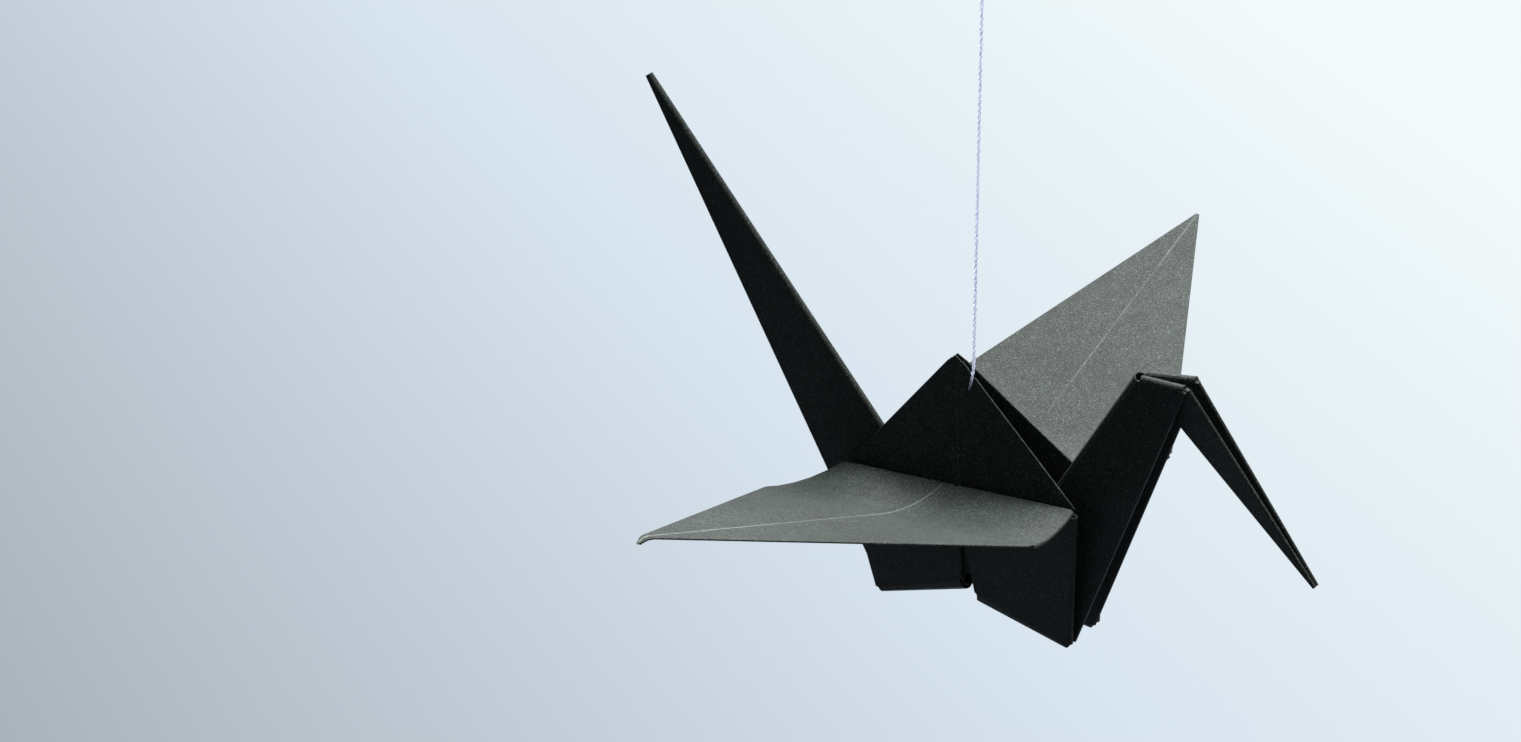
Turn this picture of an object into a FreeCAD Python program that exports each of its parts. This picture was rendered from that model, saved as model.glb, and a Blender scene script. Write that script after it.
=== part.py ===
import FreeCAD, Part
import math
import os

os.makedirs("parts", exist_ok=True)
V = FreeCAD.Vector

# Driving dimensions, in millimetres and degrees

# The square sheet
paper_side = 100.0
paper_thickness = 0.07
layer_gap = 0.02
raw_edge_gap = 0.08
corner_relief = 0.12
peak_relief = 1.0
back_petal_relief = 0.8

# The body, seen from its middle plane
hump_half_angle = 8.6
hump_splay = 0.5
front_spine_drop = 88.6
front_spine_aside = 0.2
back_spine_drop = 88.7
back_spine_aside = -0.2

# Neck and head
neck_fold_height = 49.3
neck_fold_slant = 18.9
neck_rise = 52.3
neck_turn = 1.8
head_length = 21.9
head_fold_slant = 37.8
head_dip = 49.9
head_turn = 2.0

# Tail
tail_fold_height = 50.4
tail_fold_slant = 16.3
tail_rise = 122.5
tail_turn = -1.5

# Wings: rise of the flat outer part above the level, how far lower the root starts, sweep forward
wing_fold_above = 0.05
root_bend = 9.0
near_wing_rise = 22.7
near_root_droop = 28.0
near_wing_sweep = -0.6
near_tip_curl = 60.0
tip_curl_length = 1.4
far_wing_rise = 12.5
far_root_droop = 32.5
far_wing_sweep = -3.3
root_strips = 5
tip_strips = 3

# The thread
thread_diameter = 0.3
hole_clearance = 0.05
hole_from_peak = 2.45
thread_above_peak = 36.0
thread_bend_radius = 0.4
stopper_diameter = 0.8
stopper_clearance = 0.05
loop_height = 6.0
loop_width = 3.6
loop_knot_diameter = 0.9

# The flat bird base, as shares of the sheet's side: x from its middle line, y from the leg tips up
narrow = math.tan(math.radians(11.25))
half = math.sqrt(0.5)
pitch = paper_thickness + layer_gap

# Places of the outer layers from the middle plane, in layers
peak_layers = 0.5
gusset_layers = 4.5
leg_layers = 3.5
nape_layers = 7.5
head_layers = 3.5
hinge_layers = 5.5

# The fold curves: step in degrees, least turn in radians, and the step that measures a direction
fold_step = 30.0
least_turn = 0.05
probe_step = 0.01


def meet(p, a, q, b):
    """The point where the line from p along a crosses the line from q along b."""
    det = a[0] * b[1] - a[1] * b[0]
    k = ((q[0] - p[0]) * b[1] - (q[1] - p[1]) * b[0]) / det
    return (p[0] + k * a[0], p[1] + k * a[1])


def on_slant(height, slant):
    """Where a fold line from the middle line, falling at slant, meets the narrowed edge."""
    fall = -math.tan(math.radians(slant))
    return meet((0.0, height), (1.0, fall), (0.0, 0.0), (narrow, 1.0))


side_point = (half - 0.5, 0.5)
flat = {"peak": (0.0, half), "wing_tip": (0.0, 1.0), "leg_tip": (0.0, 0.0)}
flat["ridge_end"] = meet((0.0, half), (1.0, -1.0), (0.0, 0.0), (narrow, 1.0))
flat["edge_end"] = meet((0.0, 1.0), (side_point[0], -0.5), (0.0, 0.0), (narrow, 1.0))
root = flat["ridge_end"][1]
wing_root = root + wing_fold_above / paper_side
flat["fold_end"] = (narrow * wing_root, wing_root)
flat["fold_middle"] = (0.0, wing_root)
flat["root_middle"] = (0.0, root)
flat["petal_middle"] = (0.0, 0.5)
flat["petal_end"] = (0.5 * narrow, 0.5)
flat["strip_point"] = (0.0, math.hypot(side_point[0], side_point[1]))
flat["strip_cross"] = meet(flat["strip_point"],
                           (flat["edge_end"][0], flat["edge_end"][1] - flat["strip_point"][1]),
                           (0.0, wing_root), (1.0, 0.0))


def leg_corners(fold_height, fold_slant):
    """The flat corners that differ between the neck's leg and the tail's leg."""
    height = fold_height / paper_side
    corners = dict(flat)
    corners["spine"] = (0.0, height)
    corners["bottom"] = on_slant(height, fold_slant)
    return corners


front_flat = leg_corners(neck_fold_height, neck_fold_slant)
front_flat["nape"] = (0.0, head_length / paper_side)
front_flat["cheek"] = on_slant(head_length / paper_side, head_fold_slant)
back_flat = leg_corners(tail_fold_height, tail_fold_slant)


# Planes that carry the layers

def heading(rise, turn):
    """A unit direction in the body's frame from its rise and its turn to the far side."""
    rise = math.radians(rise)
    turn = math.radians(turn)
    return V(math.cos(rise) * math.cos(turn), math.sin(turn), math.sin(rise) * math.cos(turn))


def blend(corners, names, points, name):
    """The place of a flat corner in the plane that three placed corners span."""
    a, b, c = [corners[n] for n in names]
    p = corners[name]
    det = (b[0] - a[0]) * (c[1] - a[1]) - (b[1] - a[1]) * (c[0] - a[0])
    u = ((p[0] - a[0]) * (c[1] - a[1]) - (p[1] - a[1]) * (c[0] - a[0])) / det
    w = ((b[0] - a[0]) * (p[1] - a[1]) - (b[1] - a[1]) * (p[0] - a[0])) / det
    return points[0] + (points[1] - points[0]) * u + (points[2] - points[0]) * w


class Plane:
    """One flat stretch of the body: three placed corners and the way that it faces."""

    levels = ()

    def __init__(self, corners, names, points, facing):
        self.corners = corners
        self.names = names
        self.points = points
        self.normal = (points[1] - points[0]).cross(points[2] - points[0]).normalize()
        if self.normal.dot(facing) < 0:
            self.normal = self.normal * -1.0

    def at(self, name, layer=0.0):
        place = blend(self.corners, self.names, self.points, name)
        return place + self.normal * (layer * pitch)

    def flat_at(self, xy, layer):
        self.corners["probe"] = xy
        return self.at("probe", layer)

    def facing_at(self, xy):
        return self.normal


class WingSurface:
    """A wing whose root bends upward in narrow flat strips; then it is flat, and its tip curls down."""

    def __init__(self, corners, middle, along, out, shape):
        self.corners = corners
        self.along = along
        rise, droop, sweep, curl = [math.radians(value) for value in shape]
        length = (1.0 - wing_root) * paper_side
        bends = [root_bend * i / root_strips for i in range(root_strips + 1)]
        bends += [length - tip_curl_length * (1.0 - i / tip_strips) for i in range(tip_strips + 1)]
        self.levels = [wing_root + bend / paper_side for bend in bends]
        self.spots = [middle]
        ways = []
        for near, far in zip(bends, bends[1:]):
            reach = (near + far) / 2.0
            short = max(0.0, 1.0 - reach / root_bend)
            past = max(0.0, reach - length + tip_curl_length) / tip_curl_length
            slope = rise - droop * short - curl * past
            way = out * math.cos(slope) + V(0, 0, 1) * math.sin(slope)
            ways.append(way * math.cos(sweep) + along * math.sin(sweep))
            self.spots.append(self.spots[-1] + ways[-1] * (far - near))
        self.facings = []
        for before, after in zip(ways[:1] + ways, ways + ways[-1:]):
            facing = (before + after).cross(along).normalize()
            self.facings.append(facing if facing.z > 0 else facing * -1.0)

    def share(self, y):
        """The strip that holds a flat level, and how far across it the level lies."""
        strip = 0
        while strip < len(self.levels) - 2 and y > self.levels[strip + 1]:
            strip += 1
        return strip, (y - self.levels[strip]) / (self.levels[strip + 1] - self.levels[strip])

    def facing_at(self, xy):
        strip, part = self.share(xy[1])
        return (self.facings[strip] * (1.0 - part) + self.facings[strip + 1] * part).normalize()

    def flat_at(self, xy, layer):
        strip, part = self.share(xy[1])
        ends = [self.spots[i] + self.facings[i] * (layer * pitch) for i in (strip, strip + 1)]
        return ends[0] * (1.0 - part) + ends[1] * part + self.along * (xy[0] * paper_side)

    def at(self, name, layer=0.0):
        return self.flat_at(self.corners[name], layer)


def body_planes(side, end):
    """The planes of one quarter; side is -1 near and 1 far, end is 1 at the neck and -1 at the tail."""
    corners = dict(front_flat if end > 0 else back_flat)
    splay = math.radians(hump_splay)
    lean = math.radians(hump_half_angle)
    along = V(math.cos(splay), side * math.sin(splay), 0)
    out = V(-math.sin(splay), side * math.cos(splay), 0)
    down = out * math.sin(lean) - V(0, 0, 1) * math.cos(lean)
    peak = V(0, side * peak_layers * pitch, 0)
    middle = peak + down * ((half - root) * paper_side)
    ridge_end = middle + along * (end * corners["ridge_end"][0] * paper_side)
    drop = math.radians(front_spine_drop if end > 0 else back_spine_drop)
    aside = front_spine_aside if end > 0 else back_spine_aside
    spine_length = (half - corners["spine"][1]) * paper_side
    spine = V(end * math.cos(drop), 0, -math.sin(drop)) * spine_length + V(0, aside, 0)
    across = V(0, side, 0)
    planes = {}
    planes["hump"] = Plane(corners, ("peak", "ridge_end", "root_middle"), (peak, ridge_end, middle), out)
    gusset = Plane(corners, ("peak", "ridge_end", "spine"),
                   (peak, ridge_end, spine + across * (gusset_layers * pitch)), out)
    planes["gusset"] = gusset
    planes["panel"] = Plane(corners, ("root_middle", "ridge_end", "bottom"),
                            (middle, ridge_end, gusset.at("bottom")), out)

    shape = (far_wing_rise, far_root_droop, far_wing_sweep * end, 0.0)
    if side < 0:
        shape = (near_wing_rise, near_root_droop, near_wing_sweep * end, near_tip_curl)
    hinge = planes["panel"].at("fold_middle") + out * (hinge_layers * pitch)
    planes["wing"] = WingSurface(corners, hinge, along * end, out, shape)

    spine_in = spine + across * (leg_layers * pitch)
    bottom_in = gusset.at("bottom") - across * ((gusset_layers - leg_layers) * pitch)
    if end > 0:
        nape = spine + heading(neck_rise, neck_turn) * (neck_fold_height - head_length)
        planes["leg"] = Plane(corners, ("spine", "bottom", "nape"),
                              (spine_in, bottom_in, nape + across * (nape_layers * pitch)), across)
        cheek = planes["leg"].at("cheek") - across * ((nape_layers - head_layers) * pitch)
        beak = nape + heading(-head_dip, head_turn) * head_length
        head_out = across * (head_layers * pitch)
        planes["head"] = Plane(corners, ("nape", "cheek", "leg_tip"),
                               (nape + head_out, cheek, beak + head_out), across)
    else:
        tip = spine + heading(tail_rise, tail_turn) * tail_fold_height
        planes["leg"] = Plane(corners, ("spine", "bottom", "leg_tip"),
                              (spine_in, bottom_in, tip + across * (leg_layers * pitch)), across)
    return planes


# Facets: plane, layer outward from it, which way the paper's outer face looks, and corners
body_facets = {
    "gusset": ("gusset", 0, -1, ("peak", "ridge_end", "bottom", "spine")),
    "hump": ("hump", 1, 1, ("peak", "ridge_end", "root_middle")),
    "front": ("panel", 1, 1, ("root_middle", "ridge_end", "petal_end", "petal_middle")),
    "wing_base": ("panel", 2, -1, ("fold_middle", "fold_end", "petal_end", "petal_middle")),
    "side_base": ("panel", 3, 1, ("fold_middle", "fold_end", "bottom", "spine")),
    "side_strip": ("panel", 4, -1, ("spine", "bottom", "fold_end", "strip_cross", "strip_point")),
    "wing_corner": ("panel", 5, 1, ("strip_point", "petal_end", "fold_end", "strip_cross")),
    "front_corner": ("panel", 6, -1, ("strip_point", "petal_end", "ridge_end")),
    "leg_strip": ("panel", 7, 1, ("spine", "bottom", "ridge_end", "strip_point")),
    "wing": ("wing", 3.5, 1, ("fold_middle", "fold_end", "edge_end", "wing_tip")),
    "wing_side": ("wing", 2.5, -1, ("fold_middle", "fold_end", "edge_end", "wing_tip")),
    "wing_side_strip": ("wing", 1.5, 1, ("strip_cross", "fold_end", "edge_end")),
    "wing_edge_strip": ("wing", 0.5, -1, ("strip_cross", "fold_end", "edge_end")),
}
neck_outline = ("spine", "bottom", "cheek", "nape")
tail_outline = ("spine", "bottom", "leg_tip")
head_outline = ("nape", "cheek", "leg_tip")


def leg_facets(outline):
    """The four layers of one half of the neck or the tail, from the outside in."""
    return {
        "leg_outer": ("leg", 0, 1, outline),
        "leg_side": ("leg", -1, -1, outline),
        "leg_side_strip": ("leg", -2, 1, outline),
        "leg_inner": ("leg", -3, -1, outline),
    }


head_facets = {
    "head_outer": ("head", 0, 1, head_outline),
    "head_side_strip": ("head", -1, -1, head_outline),
    "head_side": ("head", -2, 1, head_outline),
    "head_inner": ("head", -3, -1, head_outline),
}

# Folds: the two facets, the two ends, and how far the paper stops short of the line at each end,
# in layers
body_folds = [
    ("gusset", "hump", "peak", "ridge_end", 0.5, 0.5),
    ("hump", "front", "root_middle", "ridge_end", 0.5, 0.5),
    ("gusset", "leg_strip", "ridge_end", "bottom", 2.0, 2.0),
    ("front", "front_corner", "ridge_end", "petal_end", 2.0, 2.0),
    ("wing_base", "wing_corner", "fold_end", "petal_end", 2.0, 2.0),
    ("side_base", "side_strip", "fold_end", "bottom", 2.0, 2.0),
    ("front", "wing_base", "petal_middle", "petal_end", 0.5, 0.5),
    ("front_corner", "wing_corner", "strip_point", "petal_end", 0.5, 0.5),
    ("leg_strip", "front_corner", "strip_point", "ridge_end", 0.5, 0.5),
    ("leg_strip", "side_strip", "spine", "strip_point", 4.0, 2.0),
    ("wing_corner", "side_strip", "strip_point", "strip_cross", 0.5, 0.5),
    ("wing_base", "wing", "fold_middle", "fold_end", 0.0, 0.0),
    ("side_base", "wing_side", "fold_middle", "fold_end", 0.0, 0.0),
    ("side_strip", "wing_side_strip", "strip_cross", "fold_end", 0.0, 0.0),
    ("wing_corner", "wing_edge_strip", "strip_cross", "fold_end", 0.0, 0.0),
    ("wing", "wing_edge_strip", "fold_end", "edge_end", 1.0, 1.0),
    ("wing_side", "wing_side_strip", "fold_end", "edge_end", 1.0, 1.0),
    ("wing_edge_strip", "wing_side_strip", "strip_cross", "edge_end", 0.5, 0.5),
    ("wing", "wing_side", "edge_end", "wing_tip", 0.5, 0.3),
    ("gusset", "leg_outer", "spine", "bottom", 1.0, 1.0),
    ("side_base", "leg_side", "spine", "bottom", 1.0, 1.0),
    ("side_strip", "leg_side_strip", "spine", "bottom", 1.0, 1.0),
    ("leg_strip", "leg_inner", "spine", "bottom", 1.0, 1.0),
]


def leg_folds(far_end, middle_end, tip_inset):
    """The folds along one half of the neck or the tail."""
    return [
        ("leg_outer", "leg_inner", "bottom", far_end, 1.0, tip_inset),
        ("leg_side", "leg_side_strip", "bottom", far_end, 1.0, tip_inset),
        ("leg_side_strip", "leg_inner", "spine", middle_end, 0.5, min(0.5, tip_inset)),
    ]


head_folds = [
    ("leg_inner", "head_outer", "nape", "cheek", 1.0, 1.0),
    ("leg_side_strip", "head_side_strip", "nape", "cheek", 1.0, 1.0),
    ("leg_side", "head_side", "nape", "cheek", 1.0, 1.0),
    ("leg_outer", "head_inner", "nape", "cheek", 1.0, 1.0),
    ("head_outer", "head_inner", "cheek", "leg_tip", 1.0, 0.3),
    ("head_side", "head_side_strip", "cheek", "leg_tip", 1.0, 0.3),
    ("head_outer", "head_side_strip", "nape", "leg_tip", 0.5, 0.3),
]


class Facet:
    """A piece of the sheet between folds, with its edges drawn back from the fold lines."""

    def __init__(self, plane, layer, face, outline):
        self.plane = plane
        self.layer = layer
        self.face = face
        self.outline = list(outline)
        self.inset = {}
        self.stop = {}
        self.rows = {}

    def pairs(self):
        n = len(self.outline)
        return [(self.outline[i], self.outline[(i + 1) % n]) for i in range(n)]

    def xy(self, name):
        x, y = self.plane.corners[name]
        return V(x * paper_side, y * paper_side, 0)

    def corner_stop(self, corner, a, b):
        """How far from a corner the drawn back edge a-b has cleared the drawn back neighbour."""
        n = len(self.outline)
        i = self.outline.index(corner)
        before = self.outline[i - 1]
        after = self.outline[(i + 1) % n]
        other = before if corner == a and after == b or corner == b and after == a else after
        own = b if corner == a else a
        one = (self.xy(own) - self.xy(corner)).normalize()
        two = (self.xy(other) - self.xy(corner)).normalize()
        angle = one.getAngle(two)
        w1 = self.inset.get(frozenset((corner, own)), {}).get(corner, 0.0)
        w2 = self.inset.get(frozenset((corner, other)), {}).get(corner, 0.0)
        return (w2 + w1 * math.cos(angle)) / math.sin(angle)

    def inner(self, a, b):
        """The flat direction from the edge a-b into the facet."""
        along = self.xy(b) - self.xy(a)
        inner = V(-along.y, along.x, 0).normalize()
        centre = V(0, 0, 0)
        for name in self.outline:
            centre = centre + self.xy(name) * (1.0 / len(self.outline))
        return inner if (centre - self.xy(a)).dot(inner) > 0 else inner * -1.0

    def edge_end(self, a, b, corner):
        """The flat end of the drawn back edge a-b, at its stop from the corner."""
        own = b if corner == a else a
        along = self.xy(own) - self.xy(corner)
        inset = self.inset[frozenset((a, b))]
        stop = self.stop[(frozenset((a, b)), corner)]
        depth = inset[corner] + (inset[own] - inset[corner]) * stop / along.Length
        return self.xy(corner) + along.normalize() * stop + self.inner(a, b) * depth

    def stations(self, a, b):
        """The drawn back edge's ends and the places where it crosses a bend, with the bend's level."""
        start = self.edge_end(a, b, a)
        finish = self.edge_end(a, b, b)
        levels = [level for level in self.plane.levels
                  if min(start.y, finish.y) < level * paper_side < max(start.y, finish.y)]
        levels.sort(reverse=start.y > finish.y)
        spots = [(start, None)]
        for level in levels:
            share = (level * paper_side - start.y) / (finish.y - start.y)
            spots.append((start + (finish - start) * share, level))
        return spots + [(finish, None)]

    def place(self, spot):
        return self.plane.flat_at((spot.x / paper_side, spot.y / paper_side), self.layer)

    def outer(self, spot):
        return self.plane.facing_at((spot.x / paper_side, spot.y / paper_side)) * self.face

    def way(self, spot, flat_way):
        """A flat direction at a spot, carried over to the placed facet."""
        step = flat_way * probe_step
        return (self.place(spot + step) - self.place(spot - step)).normalize()

    def row(self, a, b):
        return self.rows[(a, b)] if (a, b) in self.rows else self.rows[(b, a)][::-1]


facets = {}
folds = []
for side in (-1, 1):
    for end in (1, -1):
        planes = body_planes(side, end)
        makers = dict(body_facets)
        makers.update(leg_facets(neck_outline if end > 0 else tail_outline))
        own_folds = list(body_folds)
        if end > 0:
            makers.update(head_facets)
            own_folds += leg_folds("cheek", "nape", 1.0) + head_folds
        else:
            own_folds += leg_folds("leg_tip", "leg_tip", 0.3)
        for name, (plane, layer, face, outline) in makers.items():
            facets[(side, end, name)] = Facet(planes[plane], layer, face, outline)
        for a, b, p, q, wp, wq in own_folds:
            if end < 0 and (a, p) == ("front", "petal_middle"):
                wp = back_petal_relief / pitch
            folds.append(((side, end, a), (side, end, b), p, q, wp, wq))
for end in (1, -1):
    folds.append(((-1, end, "gusset"), (1, end, "gusset"), "peak", "spine", 1.0, 1.0))
    far_end = "nape" if end > 0 else "leg_tip"
    far_inset = 1.0 if end > 0 else 0.3
    folds.append(((-1, end, "leg_outer"), (1, end, "leg_outer"), "spine", far_end, 1.0, far_inset))
folds.append(((-1, 1, "head_inner"), (1, 1, "head_inner"), "nape", "leg_tip", 0.5, 0.3))
for side in (-1, 1):
    folds.append(((side, 1, "hump"), (side, -1, "hump"), "peak", "root_middle", 0.5, 0.5))
    folds.append(((side, 1, "front"), (side, -1, "front"), "root_middle", "petal_middle", 0.5, 0.5))
    folds.append(((side, 1, "wing_base"), (side, -1, "wing_base"), "fold_middle", "petal_middle", 0.5, 0.5))
    folds.append(((side, 1, "wing"), (side, -1, "wing"), "fold_middle", "wing_tip", 0.5, 0.5))

for a, b, p, q, wp, wq in folds:
    for key in (a, b):
        facets[key].inset[frozenset((p, q))] = {p: wp * pitch, q: wq * pitch}
for facet in facets.values():
    for p, q in facet.pairs():
        if frozenset((p, q)) not in facet.inset:
            facet.inset[frozenset((p, q))] = {p: raw_edge_gap, q: raw_edge_gap}

for a, b, p, q, wp, wq in folds:
    for corner in (p, q):
        stop = max(facets[a].corner_stop(corner, p, q), facets[b].corner_stop(corner, p, q)) + corner_relief
        if corner == "peak" and "gusset" in (a[2], b[2]):
            stop = peak_relief
        facets[a].stop[(frozenset((p, q)), corner)] = stop
        facets[b].stop[(frozenset((p, q)), corner)] = stop
for facet in facets.values():
    for p, q in facet.pairs():
        for corner in (p, q):
            key = (frozenset((p, q)), corner)
            if key not in facet.stop:
                facet.stop[key] = facet.corner_stop(corner, p, q) + corner_relief

# The middle surface: places with the way the outer face looks, flat polygons and curved strips
places = []
outers = []
polygons = []


def add_place(point, outer):
    places.append(point)
    outers.append(outer)
    return len(places) - 1


def add_polygon(loop):
    """A polygon of places, turned so that it runs round its outer face."""
    area = V(0, 0, 0)
    facing = outers[loop[0]]
    for i in range(1, len(loop) - 1):
        area = area + (places[loop[i]] - places[loop[0]]).cross(places[loop[i + 1]] - places[loop[0]])
        facing = facing + outers[loop[i]]
    polygons.append(loop if area.dot(facing) > 0 else loop[::-1])


def add_triangles(loop):
    """A loop as a fan of triangles from the place that keeps the thinnest of them widest."""
    best = None
    for turn in range(len(loop)):
        around = loop[turn:] + loop[:turn]
        fan = [[around[0], around[i], around[i + 1]] for i in range(1, len(around) - 1)]
        least = min((places[b] - places[a]).cross(places[c] - places[a]).Length for a, b, c in fan)
        if best is None or least > best[0]:
            best = (least, fan)
    for triangle in best[1]:
        add_polygon(triangle)


def add_facet(facet):
    """Places along the facet's edges, and its surface, cut wherever a bend crosses it."""
    loop = []
    for a, b in facet.pairs():
        row = []
        for spot, level in facet.stations(a, b):
            index = add_place(facet.place(spot), facet.outer(spot))
            row.append((index, spot))
            loop.append((index, spot.y, level))
        facet.rows[(a, b)] = row
    for level in facet.plane.levels:
        cuts = [i for i, (index, y, own_level) in enumerate(loop) if own_level == level]
        if len(cuts) == 2:
            parts = [loop[cuts[0]:cuts[1] + 1], loop[cuts[1]:] + loop[:cuts[0] + 1]]
            parts.sort(key=lambda part: sum(y for index, y, own_level in part) / len(part))
            add_triangles([index for index, y, own_level in parts[0]])
            loop = parts[1]
    indices = [index for index, y, own_level in loop]
    if facet.plane.levels:
        add_triangles(indices)
    else:
        add_polygon(indices)


for facet in facets.values():
    add_facet(facet)


def fold_curve(facet_a, facet_b, edge, station):
    """The two ends of a fold's curve at one station, the ways that the sheet leaves there, and its turn."""
    ends = []
    ways = []
    for facet in (facet_a, facet_b):
        index, spot = facet.row(edge[0], edge[1])[station]
        ends.append(index)
        ways.append(facet.way(spot, facet.inner(edge[0], edge[1]) * -1.0))
    return ends, ways, ways[0].getAngle(ways[1] * -1.0)


def fold_control(ends, ways, turn):
    """The four control places of the curve that carries the sheet round the fold."""
    start, finish = [places[index] for index in ends]
    chord = (finish - start).Length
    reach = [chord / 3.0, chord / 3.0]
    if turn > least_turn:
        ahead = (finish - start).dot((ways[0] + ways[1]).normalize())
        across = math.sqrt(chord * chord - ahead * ahead)
        bend = 4.0 / 3.0 * math.tan(turn / 4.0) * across / (2.0 * math.sin(turn / 2.0))
        reach = [bend + max(0.0, ahead), bend + max(0.0, -ahead)]
    return [start, start + ways[0] * reach[0], finish + ways[1] * reach[1], finish]


def add_fold(a, b, p, q):
    facet_a = facets[a]
    facet_b = facets[b]
    stations = range(len(facet_a.row(p, q)))
    curves = [fold_curve(facet_a, facet_b, (p, q), station) for station in stations]
    steps = max(2, int(round(math.degrees(max(turn for ends, ways, turn in curves)) / fold_step)))
    edge_way = (facet_a.xy(q) - facet_a.xy(p)).normalize()
    rows = []
    for station in stations:
        ends, ways, turn = curves[station]
        control = fold_control(ends, ways, turn)
        along = facet_a.way(facet_a.row(p, q)[station][1], edge_way)
        sign = 1.0 if ways[0].cross(along).dot(outers[ends[0]]) > 0 else -1.0
        if ways[1].cross(along).dot(outers[ends[1]]) * sign > 0:
            print("fold turns the sheet over:", a, b, p, q)
        row = [ends[0]]
        for i in range(1, steps):
            s = i / steps
            r = 1.0 - s
            point = (control[0] * r ** 3 + control[1] * (3 * s * r * r)
                     + control[2] * (3 * s * s * r) + control[3] * s ** 3)
            slope = ((control[1] - control[0]) * r ** 2 + (control[2] - control[1]) * (2 * s * r)
                     + (control[3] - control[2]) * s * s)
            row.append(add_place(point, slope.cross(along).normalize() * sign))
        rows.append(row + [ends[1]])
    for row, after in zip(rows, rows[1:]):
        for i in range(steps):
            add_polygon([row[i], row[i + 1], after[i + 1]])
            add_polygon([row[i], after[i + 1], after[i]])


for a, b, p, q, wp, wq in folds:
    add_fold(a, b, p, q)


def sheet_solid():
    """Both faces of the sheet and its rim, sewn into one solid."""
    lift = paper_thickness / 2.0
    top = [p + n * lift for p, n in zip(places, outers)]
    base = [p - n * lift for p, n in zip(places, outers)]
    faces = []
    sides = {}

    def add_face(points):
        faces.append(Part.Face(Part.makePolygon(points + [points[0]])))

    for loop in polygons:
        add_face([top[i] for i in loop])
        add_face([base[i] for i in reversed(loop)])
        for i in range(len(loop)):
            pair = (loop[i], loop[(i + 1) % len(loop)])
            sides[pair] = sides.get(pair, 0) + 1
    for a, b in sides:
        if (b, a) not in sides:
            add_face([top[a], base[a], base[b]])
            add_face([top[a], base[b], top[b]])
    shell = Part.Shell(faces)
    shell.sewShape()
    return Part.Solid(shell)


# The thread: its hole in the near ridge beside the peak, and the knot that holds it inside

def hole_point():
    """The middle of the ridge fold, at the hole's distance from the peak."""
    step = hole_from_peak / paper_side * math.sqrt(0.5)
    xy = (step, half - step)
    outer = facets[(-1, 1, "hump")].plane.flat_at(xy, 1)
    inner = facets[(-1, 1, "gusset")].plane.flat_at(xy, 0)
    return (outer + inner) * 0.5


def stopper_place():
    """On the line down from the peak, where the hump's face and the spines leave room for the knot."""
    lines = []
    for end, name, low in ((1, "hump", "root_middle"), (1, "gusset", "spine"), (-1, "gusset", "spine")):
        facet = facets[(-1, end, name)]
        high = facet.plane.at("peak", facet.layer)
        way = facet.plane.at(low, facet.layer) - high
        lines.append((high, way * (-1.0 / way.z)))
    face, front, back = lines
    spine = ((front[0] + back[0]) * 0.5, (front[1] + back[1]) * 0.5)
    room = stopper_diameter + paper_thickness + 2.0 * stopper_clearance
    growth = abs(face[1].y - spine[1].y)
    depth = (room - abs(face[0].y - spine[0].y)) / growth
    return (face[0] + face[1] * depth + spine[0] + spine[1] * depth) * 0.5


def rounded_path(points, radius):
    """Straight runs through the points, joined by a tangent arc at each inner one."""
    edges = []
    start = points[0]
    for before, corner, after in zip(points, points[1:], points[2:]):
        back = (before - corner).normalize()
        ahead = (after - corner).normalize()
        half_angle = back.getAngle(ahead) / 2.0
        run = radius / math.tan(half_angle)
        middle = (back + ahead).normalize()
        rise = radius / math.sin(half_angle) - radius
        edges.append(Part.makeLine(start, corner + back * run))
        edges.append(Part.Arc(corner + back * run, corner + middle * rise, corner + ahead * run).toShape())
        start = corner + ahead * run
    edges.append(Part.makeLine(start, points[-1]))
    return Part.Wire(edges)


def tube(path, diameter, start, way):
    """A round section carried along a path that begins at start."""
    section = Part.Wire([Part.makeCircle(diameter / 2.0, start, way)])
    return path.makePipeShell([section], True, True)


# The sheet, turned so that its centre of mass hangs straight below the hole
sheet = sheet_solid()
hole = hole_point()
hang = FreeCAD.Rotation(sheet.CenterOfMass - hole, V(0, 0, -1))
loop_bottom = -(loop_height + thread_diameter)
knot_centre_z = loop_bottom - loop_knot_diameter / 2.0 + thread_diameter
hole_z = knot_centre_z - thread_above_peak


def hung(point):
    """A point of the body's frame in the hanging frame, whose origin is the loop's inner top."""
    return hang.multVec(point - hole) + V(0, 0, hole_z)


stopper_centre = hung(stopper_place())
hole_place = V(0, 0, hole_z)
top_knot_centre = V(0, 0, knot_centre_z)
sheet.translate(hole * -1.0)
sheet.rotate(V(0, 0, 0), hang.Axis, math.degrees(hang.Angle))
sheet.translate(hole_place)

inner_way = (hole_place - stopper_centre).normalize()
route = [stopper_centre, hole_place, top_knot_centre]
path = rounded_path(route, thread_bend_radius)
thread_turn = math.degrees(inner_way.getAngle(V(0, 0, 1)))
print("thread bend radius", thread_bend_radius, "turn", round(thread_turn))
print("thread length", round(path.Length, 2))
print("its section times length", round(math.pi * thread_diameter ** 2 / 4.0 * path.Length, 3))
print("thread route", [[round(value, 3) for value in point] for point in route])
stopper_knot = Part.makeSphere(stopper_diameter / 2.0, stopper_centre)
loop_knot = Part.makeSphere(loop_knot_diameter / 2.0, top_knot_centre)
thread = tube(path, thread_diameter, stopper_centre, inner_way).cut(stopper_knot).cut(loop_knot)
hole_route = [stopper_centre, hole_place, hole_place + V(0, 0, hole_from_peak)]
hole_path = rounded_path(hole_route, thread_bend_radius)
hole_cutter = tube(hole_path, thread_diameter + 2.0 * hole_clearance, stopper_centre, inner_way)
crane = sheet.cut(hole_cutter)

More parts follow.
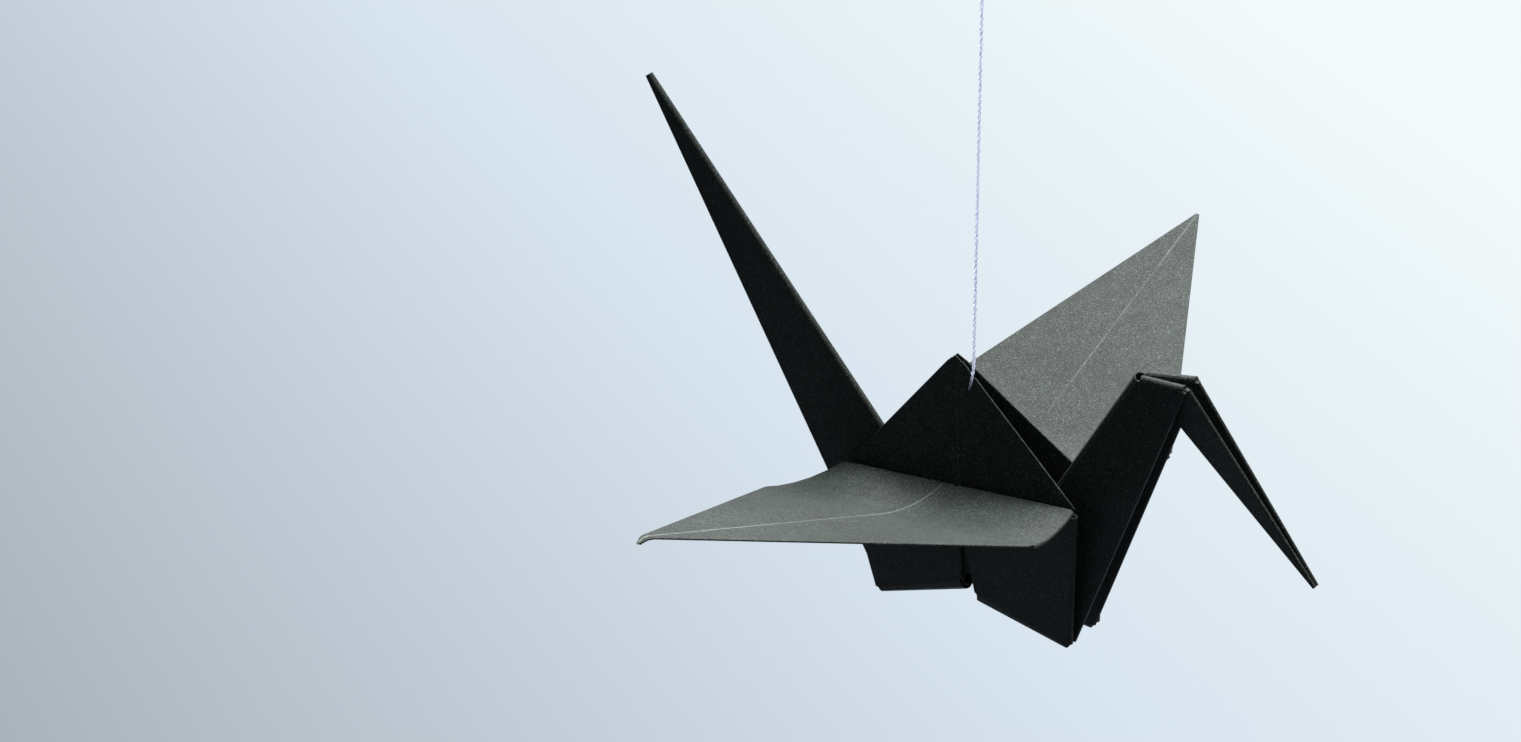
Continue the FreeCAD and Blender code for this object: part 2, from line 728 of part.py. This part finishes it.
# The loop: two straight legs out of the knot, tangent to a round top
loop_radius = (loop_width + thread_diameter) / 2.0
loop_centre = V(0, 0, thread_diameter / 2.0 - loop_radius)
leg_angle = math.asin(loop_radius / (loop_centre.z - knot_centre_z))
leg_foot = V(0, math.cos(leg_angle), -math.sin(leg_angle)) * loop_radius
left_foot = loop_centre + leg_foot
right_foot = loop_centre + V(0, -leg_foot.y, leg_foot.z)
loop_path = Part.Wire([
    Part.makeLine(top_knot_centre, left_foot),
    Part.Arc(left_foot, loop_centre + V(0, 0, loop_radius), right_foot).toShape(),
    Part.makeLine(right_foot, top_knot_centre),
])
hang_loop = tube(loop_path, thread_diameter, top_knot_centre, left_foot - top_knot_centre).cut(loop_knot)

for name, shape in (("crane", crane), ("thread", thread), ("stopper_knot", stopper_knot),
                    ("loop_knot", loop_knot), ("hang_loop", hang_loop)):
    solid = shape if shape.ShapeType == "Solid" else shape.Solids[0]
    print(name, len(shape.Solids), solid.isValid(), "volume", round(solid.Volume, 3), solid.BoundBox)
    solid.exportStep("parts/" + name + ".step")
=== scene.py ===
import math

import bpy
from mathutils import Matrix, Vector


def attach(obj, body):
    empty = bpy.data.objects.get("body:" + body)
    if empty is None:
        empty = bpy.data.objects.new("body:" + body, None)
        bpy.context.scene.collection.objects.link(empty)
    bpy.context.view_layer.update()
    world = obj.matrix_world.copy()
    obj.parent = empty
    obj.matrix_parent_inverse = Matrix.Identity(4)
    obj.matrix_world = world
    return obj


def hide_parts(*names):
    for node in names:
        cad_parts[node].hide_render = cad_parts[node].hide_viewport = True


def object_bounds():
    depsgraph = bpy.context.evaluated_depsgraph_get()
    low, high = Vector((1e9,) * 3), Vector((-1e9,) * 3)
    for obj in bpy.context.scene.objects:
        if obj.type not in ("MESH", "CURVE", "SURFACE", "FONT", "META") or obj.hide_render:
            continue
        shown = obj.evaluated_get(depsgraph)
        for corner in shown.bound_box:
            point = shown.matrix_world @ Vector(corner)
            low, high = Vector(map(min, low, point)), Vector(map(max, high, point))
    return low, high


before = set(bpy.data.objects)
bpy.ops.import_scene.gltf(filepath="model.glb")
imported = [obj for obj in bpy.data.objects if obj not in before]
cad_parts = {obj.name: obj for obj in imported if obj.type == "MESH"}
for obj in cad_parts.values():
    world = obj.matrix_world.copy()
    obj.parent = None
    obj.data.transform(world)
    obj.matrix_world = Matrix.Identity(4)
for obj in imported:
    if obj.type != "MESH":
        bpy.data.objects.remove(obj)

cad_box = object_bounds()

# The folded sheet
# One square of thin charcoal folding paper, creased by hand into the crane.
# The folds and the cut edge are painted paler: partly wear, where the dye has worn off the fibres, and partly a
# painted highlight of light catching the fold edges.

MM = 0.001
scene = bpy.context.scene


def linear(hex_colour):
    """An sRGB hex colour as the linear red, green, blue and alpha that a shader takes."""
    parts = [int(hex_colour[i:i + 2], 16) / 255.0 for i in (1, 3, 5)]
    return tuple(c / 12.92 if c <= 0.04045 else ((c + 0.055) / 1.055) ** 2.4 for c in parts) + (1.0,)


def add_node(tree, kind, settings=None, inputs=None):
    """Adds a shader node with its settings; each input is a value, or a (node, output) pair to link."""
    node = tree.nodes.new("ShaderNode" + kind)
    for name, value in (settings or {}).items():
        setattr(node, name, value)
    for name, value in (inputs or {}).items():
        if isinstance(value, tuple) and hasattr(value[0], "outputs"):
            tree.links.new(value[0].outputs[value[1]], node.inputs[name])
        else:
            node.inputs[name].default_value = value
    return node


def new_material(name):
    """An empty node material and its tree."""
    material = bpy.data.materials.new(name)
    material.use_nodes = True
    material.node_tree.nodes.clear()
    return material, material.node_tree


def finish_material(tree, surface, output="BSDF"):
    tree.links.new(surface.outputs[output], add_node(tree, "OutputMaterial").inputs["Surface"])


paper_colour = "#2f3433"
speck_colour = "#686e6a"
pore_colour = "#141718"
# Pale colour of the fold, edge and crease lines: worn paper, and on the folds and edges also a painted highlight.
worn_and_highlight_colour = "#c9cec9"
speck_size = 0.14
mottle_size = 1.3
cloud_size = 12.0
wear_and_highlight_patch_size = 0.8
wear_and_highlight_stretch_size = 9.0
speck_levels = (0.5, 0.74)
pore_levels = (0.47, 0.28)
mottle_tone = (0.84, 1.16)
cloud_tone = (0.93, 1.07)
patch_wear_and_highlight = (0.5, 1.0)
stretch_wear_and_highlight = (0.35, 1.0)
near_crease_wear = 0.3
far_crease_wear = 0.12
hump_crease_wear = 0.05
fibre_relief = 0.02
crease_width = 0.2
narrow_fold = 0.22
bent_fold = 8.0
short_fold = 1.5
sharp_fold = 50.0
crease_floor = -53.0
wing_root = 2.6
wing_end = 50.0
near_root = (-1.2, -2.4, -52.0)
near_wing_tip = (-3.3, -40.3, -37.8)
far_root = (0.0, 2.4, -52.2)
far_wing_tip = (-3.6, 42.4, -48.2)
hump_top = (-2.0, 0.3, -41.1)
hump_foot = (0.1, -2.0, -52.4)
upright = (0.183, -0.043, -0.982)
outward = (0.0, 1.0, 0.0)


def crease_line(tree, place, start, finish, through, low, high, strength):
    """A mask along a pressed crease from start to finish, where the sheet's y in millimetres is in range."""
    across = (Vector(finish) - Vector(start)).cross(Vector(through)).normalized()
    distance = add_node(tree, "VectorMath", {"operation": "DOT_PRODUCT"}, {0: place, 1: tuple(across)})
    offset = add_node(tree, "Math", {"operation": "SUBTRACT"},
                      {0: (distance, "Value"), 1: across.dot(Vector(start)) * MM})
    apart = add_node(tree, "Math", {"operation": "ABSOLUTE"}, {0: (offset, "Value")})
    line = add_node(tree, "MapRange", {"interpolation_type": "SMOOTHSTEP"}, {
        "Value": (apart, "Value"), "From Min": 0.8 * crease_width * MM, "From Max": 0.2 * crease_width * MM})
    parts = add_node(tree, "SeparateXYZ", None, {0: place})
    above = add_node(tree, "Math", {"operation": "GREATER_THAN"}, {0: (parts, "Y"), 1: low * MM})
    below = add_node(tree, "Math", {"operation": "LESS_THAN"}, {0: (parts, "Y"), 1: high * MM})
    within = add_node(tree, "Math", {"operation": "MULTIPLY"}, {0: (above, "Value"), 1: (below, "Value")})
    over = add_node(tree, "Math", {"operation": "GREATER_THAN"}, {0: (parts, "Z"), 1: crease_floor * MM})
    within = add_node(tree, "Math", {"operation": "MULTIPLY"}, {0: (within, "Value"), 1: (over, "Value")})
    mask = add_node(tree, "Math", {"operation": "MULTIPLY"}, {0: (line, "Result"), 1: (within, "Value")})
    return add_node(tree, "Math", {"operation": "MULTIPLY"}, {0: (mask, "Value"), 1: strength})


def folding_paper():
    """Dyed uncoated paper: matt, with felted fibres as pale specks and dark pores, and pale folds, partly worn and
    partly a painted highlight.

    Its open surface reflects less than solid cellulose, so its IOR is under the usual 1.5.
    """
    material, tree = new_material("charcoal_folding_paper")
    place = (add_node(tree, "TexCoord"), "Object")
    patterns = []
    for size, detail, roughness in ((speck_size, 3.0, 0.65), (mottle_size, 3.0, 0.6), (cloud_size, 1.0, 0.5),
                                    (wear_and_highlight_patch_size, 3.0, 0.7), (wear_and_highlight_stretch_size, 1.0, 0.5)):
        patterns.append(add_node(tree, "TexNoise", None, {
            "Vector": place, "Scale": 1.0 / (size * MM), "Detail": detail, "Roughness": roughness}))
    specks, mottle, clouds, patches, stretches = patterns
    base = linear(paper_colour)
    for (low, high), colour in ((speck_levels, speck_colour), (pore_levels, pore_colour)):
        share = add_node(tree, "MapRange", {"interpolation_type": "SMOOTHSTEP"}, {
            "Value": (specks, "Fac"), "From Min": low, "From Max": high})
        base = (add_node(tree, "MixRGB", None, {
            "Fac": (share, "Result"), "Color1": base, "Color2": linear(colour)}), "Color")
    tone = add_node(tree, "MapRange", None, {
        "Value": (mottle, "Fac"), "From Min": 0.3, "From Max": 0.7,
        "To Min": mottle_tone[0], "To Max": mottle_tone[1]})
    drift = add_node(tree, "MapRange", None, {
        "Value": (clouds, "Fac"), "From Min": 0.35, "From Max": 0.65,
        "To Min": cloud_tone[0], "To Max": cloud_tone[1]})
    tone = add_node(tree, "Math", {"operation": "MULTIPLY"}, {0: (tone, "Result"), 1: (drift, "Result")})
    base = add_node(tree, "MixRGB", {"blend_type": "MULTIPLY"}, {
        "Fac": 1.0, "Color1": base, "Color2": (tone, "Value")})
    patchy_wear_and_highlight = add_node(tree, "MapRange", None, {
        "Value": (patches, "Fac"), "From Min": 0.3, "From Max": 0.65,
        "To Min": patch_wear_and_highlight[0], "To Max": patch_wear_and_highlight[1]})
    lengths = add_node(tree, "MapRange", None, {
        "Value": (stretches, "Fac"), "From Min": 0.35, "From Max": 0.65,
        "To Min": stretch_wear_and_highlight[0], "To Max": stretch_wear_and_highlight[1]})
    # The fold lines carry wear and a painted highlight; the creases below add worn lines.
    lines = (add_node(tree, "Attribute", {"attribute_name": "fold_wear"}), "Fac")
    for crease in (
            crease_line(tree, place, near_root, near_wing_tip, upright, -wing_end, -wing_root, near_crease_wear),
            crease_line(tree, place, far_root, far_wing_tip, upright, wing_root, wing_end, far_crease_wear),
            crease_line(tree, place, hump_top, hump_foot, outward, -2.3, -0.1, hump_crease_wear)):
        lines = (add_node(tree, "Math", {"operation": "MAXIMUM"}, {0: lines, 1: (crease, "Value")}), "Value")
    rub_and_highlight = add_node(tree, "Math", {"operation": "MULTIPLY"}, {0: lines, 1: (patchy_wear_and_highlight, "Result")})
    rub_and_highlight = add_node(tree, "Math", {"operation": "MULTIPLY"}, {0: (rub_and_highlight, "Value"), 1: (lengths, "Result")})
    base = add_node(tree, "MixRGB", None, {
        "Fac": (rub_and_highlight, "Value"), "Color1": (base, "Color"), "Color2": linear(worn_and_highlight_colour)})
    rise = add_node(tree, "Math", {"operation": "MULTIPLY_ADD"}, {0: (mottle, "Fac"), 1: 1.5, 2: (specks, "Fac")})
    bump = add_node(tree, "Bump", None, {"Strength": 0.5, "Distance": fibre_relief * MM, "Height": (rise, "Value")})
    surface = add_node(tree, "BsdfPrincipled", None, {
        "Base Color": (base, "Color"), "Roughness": 0.6, "IOR": 1.25, "Normal": (bump, "Normal")})
    finish_material(tree, surface)
    return material


def dressed_sheet(node, material):
    """The sheet's own shape, shaded smooth round its folds, with each narrow bent face marked for the pale fold
    line, partly wear and partly a painted highlight.
    """
    mesh = node.data.copy()
    mesh.name = "folded_sheet"
    mesh.materials.clear()
    mesh.materials.append(material)
    beside = {}
    for face in mesh.polygons:
        for key in face.edge_keys:
            beside.setdefault(key, []).append(face)
    # Narrow bent faces get the pale line: wear, plus a painted highlight along the fold edges.
    wear_and_highlight_marks = mesh.attributes.new("fold_wear", "FLOAT", "FACE")
    for face in mesh.polygons:
        face.use_smooth = True
        spans = sorted(face.edge_keys, reverse=True,
                       key=lambda key: (mesh.vertices[key[0]].co - mesh.vertices[key[1]].co).length)
        longest = (mesh.vertices[spans[0][0]].co - mesh.vertices[spans[0][1]].co).length
        bent = [face.normal.angle(other.normal, 0.0) for key in spans[:2] for other in beside[key]]
        narrow = 2.0 * face.area / longest < narrow_fold * MM
        if narrow and longest > short_fold * MM and max(bent) > math.radians(bent_fold):
            wear_and_highlight_marks.data[face.index].value = 1.0
    mesh.set_sharp_from_angle(angle=math.radians(sharp_fold))
    sheet = bpy.data.objects.new("folded_sheet", mesh)
    scene.collection.objects.link(sheet)
    weighted = sheet.modifiers.new("flat_faces_stay_flat", "WEIGHTED_NORMAL")
    weighted.keep_sharp = True
    weighted.weight = 100
    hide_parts("crane")
    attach(sheet, "root")
    return sheet


dressed_sheet(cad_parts["crane"], folding_paper())

# The thread
# Two-ply cotton sewing thread, pulled straight by the crane's weight.
# It enters the back through a pinhole in the near ridge and is knotted inside.

thread_colour = "#f8f9ff"
thread_shade = "#e6e7f4"
thread_diameter = 0.3
ply_turn_length = 1.1
strand_share = 0.29
mesh_step = 0.12
fibre_size = 0.12
see_through = 0.8
knot_centre = (0.0, 0.0, -6.45)
hole_place = (0.0, 0.0, -42.45)
above_hole = (0.0, 0.0, -40.65)
stopper_centre = (-0.813, -0.496, -47.544)


def spun_cotton():
    """Spun cotton: soft and matt, uneven in tone along each ply, and light passes between its fibres."""
    material, tree = new_material("spun_cotton_thread")
    place = (add_node(tree, "TexCoord"), "Object")
    fibres = add_node(tree, "TexNoise", None, {
        "Vector": place, "Scale": 1.0 / (fibre_size * MM), "Detail": 3.0, "Roughness": 0.6})
    base = add_node(tree, "MixRGB", None, {
        "Fac": (fibres, "Fac"), "Color1": linear(thread_shade), "Color2": linear(thread_colour)})
    bump = add_node(tree, "Bump", None, {
        "Strength": 0.4, "Distance": fibre_relief * MM, "Height": (fibres, "Fac")})
    surface = add_node(tree, "BsdfPrincipled", None, {
        "Base Color": (base, "Color"), "Roughness": 0.8, "Sheen Weight": 0.3, "Normal": (bump, "Normal")})
    through = add_node(tree, "BsdfTranslucent", None, {"Color": (base, "Color")})
    both = add_node(tree, "MixShader", None, {0: see_through, 1: (surface, "BSDF"), 2: (through, "BSDF")})
    finish_material(tree, both, "Shader")
    return material


cotton = spun_cotton()


def route_points(route, closed_steps=64):
    """Points along the smooth line of a route, which is its NURBS spline."""
    data = bpy.data.curves.new("route", "CURVE")
    data.dimensions = "3D"
    data.resolution_u = closed_steps
    spline = data.splines.new("NURBS")
    spline.points.add(len(route) - 1)
    for point, place in zip(spline.points, route):
        point.co = (place[0] * MM, place[1] * MM, place[2] * MM, 1.0)
    spline.order_u = 3
    spline.use_endpoint_u = True
    holder = bpy.data.objects.new("route", data)
    line = bpy.data.meshes.new_from_object(holder)
    points = [vertex.co.copy() for vertex in line.vertices]
    bpy.data.objects.remove(holder)
    bpy.data.curves.remove(data)
    bpy.data.meshes.remove(line)
    return points


def even_points(points, gap):
    """The same line as points one gap apart."""
    total = sum((b - a).length for a, b in zip(points, points[1:]))
    count = max(2, round(total / gap))
    even = [points[0]]
    walked = 0.0
    index = 0
    for i in range(1, count):
        want = total * i / count
        while walked + (points[index + 1] - points[index]).length < want:
            walked += (points[index + 1] - points[index]).length
            index += 1
        span = points[index + 1] - points[index]
        even.append(points[index] + span * ((want - walked) / span.length))
    return even + [points[-1]]


def two_ply(name, points, diameter, turn_length, sides=10):
    """A mesh of two strands that twist round each other along a line of points."""
    verts = []
    faces = []
    strand = diameter * strand_share
    orbit = diameter * 0.5 - strand
    for ply in (0.0, math.pi):
        across = None
        walked = 0.0
        first = len(verts)
        for i, point in enumerate(points):
            ahead = points[min(i + 1, len(points) - 1)] - points[max(i - 1, 0)]
            ahead.normalize()
            across = ahead.orthogonal() if across is None else across - ahead * across.dot(ahead)
            across.normalize()
            other = ahead.cross(across)
            walked += (point - points[max(i - 1, 0)]).length
            turn = ply + 2.0 * math.pi * walked / turn_length
            out = across * math.cos(turn) + other * math.sin(turn)
            along = ahead.cross(out)
            centre = point + out * orbit
            for side in range(sides):
                angle = 2.0 * math.pi * side / sides
                verts.append(centre + (out * math.cos(angle) + along * math.sin(angle)) * strand)
            if i:
                row = first + i * sides
                for side in range(sides):
                    after = (side + 1) % sides
                    faces.append((row - sides + side, row - sides + after, row + after, row + side))
        faces.append(tuple(range(first + sides - 1, first - 1, -1)))
        faces.append(tuple(range(len(verts) - sides, len(verts))))
    mesh = bpy.data.meshes.new(name)
    mesh.from_pydata(verts, [], faces)
    mesh.shade_smooth()
    mesh.materials.append(cotton)
    piece = bpy.data.objects.new(name, mesh)
    scene.collection.objects.link(piece)
    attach(piece, "root")
    return piece


thread_line = even_points(route_points([stopper_centre, hole_place, above_hole, knot_centre]), mesh_step * MM)
thread = two_ply("sewing_thread", thread_line, thread_diameter * MM, ply_turn_length * MM)
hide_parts("thread")
for name in ("stopper_knot", "loop_knot", "hang_loop"):
    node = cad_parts[name]
    node.data.materials.clear()
    node.data.materials.append(cotton)

# The floor and the backdrop
# Smooth pale card under and behind the crane, far enough off to stay plain.
# Its colour drifts from a greyer blue on the left to near white on the right: a painted falloff of light across the
# card.

card_left = "#a7b1bb"
card_middle = "#dce8f3"
card_right = "#f7ffff"
card_lit = "#596166"
card_heading = 65.0
card_drift = 320.0
card_centre = 120.0
floor_drop = 160.0
card_reach = 1500.0
card_plain = 0.95


def pale_card():
    """Card that the camera, a mirror and glass see mostly in its own colour, and that still takes a shadow."""
    material, tree = new_material("pale_card")
    place = (add_node(tree, "TexCoord"), "Object")
    heading = math.radians(card_heading)
    across = (math.cos(heading) / (card_drift * MM), math.sin(heading) / (card_drift * MM), 0.0)
    drift = add_node(tree, "VectorMath", {"operation": "DOT_PRODUCT"}, {0: place, 1: across})
    share = add_node(tree, "Math", {"operation": "ADD"}, {0: (drift, "Value"), 1: 0.5 - card_centre / card_drift})
    # Painted light falloff: the card is darker on the left and lighter on the right.
    ramp = add_node(tree, "ValToRGB", None, {"Fac": (share, "Value")})
    ramp.color_ramp.elements[0].color = linear(card_left)
    ramp.color_ramp.elements[1].color = linear(card_right)
    ramp.color_ramp.elements.new(0.5).color = linear(card_middle)
    lit = add_node(tree, "BsdfDiffuse", None, {"Color": linear(card_lit)})
    plain = add_node(tree, "Emission", None, {"Color": (ramp, "Color"), "Strength": 1.0})
    path = add_node(tree, "LightPath")
    seen = add_node(tree, "Math", {"operation": "MAXIMUM"}, {0: (path, "Is Camera Ray"), 1: (path, "Is Glossy Ray")})
    seen = add_node(tree, "Math", {"operation": "MAXIMUM"}, {0: (seen, "Value"), 1: (path, "Is Transmission Ray")})
    part = add_node(tree, "Math", {"operation": "MULTIPLY"}, {0: (seen, "Value"), 1: card_plain})
    both = add_node(tree, "MixShader", None, {0: (part, "Value"), 1: (lit, "BSDF"), 2: (plain, "Emission")})
    finish_material(tree, both, "Shader")
    return material


card = bpy.data.meshes.new("backdrop_card")
reach = card_reach * MM
low = cad_box[0][2] - floor_drop * MM
card.from_pydata([(-reach, -reach, low), (reach, -reach, low), (reach, reach, low), (-reach, reach, low)],
                 [], [(0, 1, 2, 3)])
card.materials.append(pale_card())
floor = bpy.data.objects.new("backdrop_card", card)
scene.collection.objects.link(floor)

# The light
# Two large soft lamps above and behind the crane, and a weak fill from the viewer's side.
# The room is dim to the paper, and pale to what shines through the thread.

room_colour = "#dfe9f0"
room_dim = 0.05
room_pale = 0.85
world = bpy.data.worlds.new("studio")
scene.world = world
world.use_nodes = True
sky = world.node_tree.nodes["Background"]
path = add_node(world.node_tree, "LightPath")
seen = add_node(world.node_tree, "Math", {"operation": "MAXIMUM"},
                {0: (path, "Is Camera Ray"), 1: (path, "Is Transmission Ray")})
glow = add_node(world.node_tree, "Math", {"operation": "MULTIPLY_ADD"},
                {0: (seen, "Value"), 1: room_pale - room_dim, 2: room_dim})
sky.inputs["Color"].default_value = linear(room_colour)
world.node_tree.links.new(glow.outputs["Value"], sky.inputs["Strength"])


def soft_light(name, place, aim, size, watts, colour):
    """A square area lamp at a place in millimetres, turned to face an aim point."""
    data = bpy.data.lights.new(name, "AREA")
    data.size = size * MM
    data.energy = watts
    data.color = linear(colour)[:3]
    lamp = bpy.data.objects.new(name, data)
    lamp.location = Vector(place) * MM
    lamp.rotation_euler = (Vector(aim) - Vector(place)).to_track_quat("-Z", "Y").to_euler()
    scene.collection.objects.link(lamp)
    return lamp


middle = (0.0, 0.0, -45.0)
soft_light("back_window", (-180.0, 330.0, 260.0), middle, 360.0, 4.0, "#ffffff")
soft_light("top_light", (0.0, 190.0, 420.0), middle, 300.0, 4.8, "#fafff8")
soft_light("fill_light", (200.0, -420.0, 60.0), middle, 400.0, 0.04, "#eef4ff")

# The camera
# It looks down on the crane from the front of its right side, as the photograph does.

camera_place = (137.72, -211.04, 119.08)
camera_turn = 37.09
camera_dip = 32.6
camera_roll = 0.82
focal_length = 86.44
camera_data = bpy.data.cameras.new("camera")
camera_data.sensor_width = 36.0
camera_data.lens = focal_length
camera_data.clip_start = 0.01
camera = bpy.data.objects.new("camera", camera_data)
turn = Matrix.Rotation(math.radians(camera_turn), 4, "Z")
dip = Matrix.Rotation(math.radians(90.0 - camera_dip), 4, "X")
roll = Matrix.Rotation(math.radians(-camera_roll), 4, "Z")
camera.matrix_world = Matrix.Translation(Vector(camera_place) * MM) @ turn @ dip @ roll
scene.collection.objects.link(camera)
scene.camera = camera
scene.view_settings.view_transform = "Standard"
